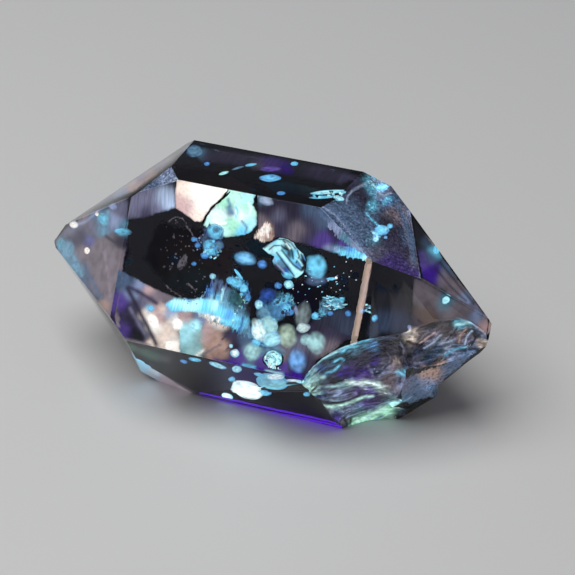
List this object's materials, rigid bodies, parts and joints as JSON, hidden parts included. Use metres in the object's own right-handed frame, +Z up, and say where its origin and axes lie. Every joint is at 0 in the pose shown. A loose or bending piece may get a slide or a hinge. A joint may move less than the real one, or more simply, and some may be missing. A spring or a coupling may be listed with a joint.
{
  "type": "quartz crystal",
  "caption": "Clear, doubly terminated quartz crystal with glowing blue petroleum inclusions, lying on a prism face, its right-hand end broken at the front.",
  "frame": {"origin": "under the middle of the crystal, on the plane that its bottom prism face lies on", "axes": "+X along the crystal's long axis towards the broken end, +Z up, the broad front face looks towards -Y and up"},
  "size_m": [0.02, 0.0094, 0.0098],
  "materials": {
    "clear_quartz": "flat growth faces clear and glossy, etched corners frosted, break rippled and glossy"
  },
  "bodies": {
    "root": {"quartz_crystal": "clear_quartz"}
  },
  "joints": []
}
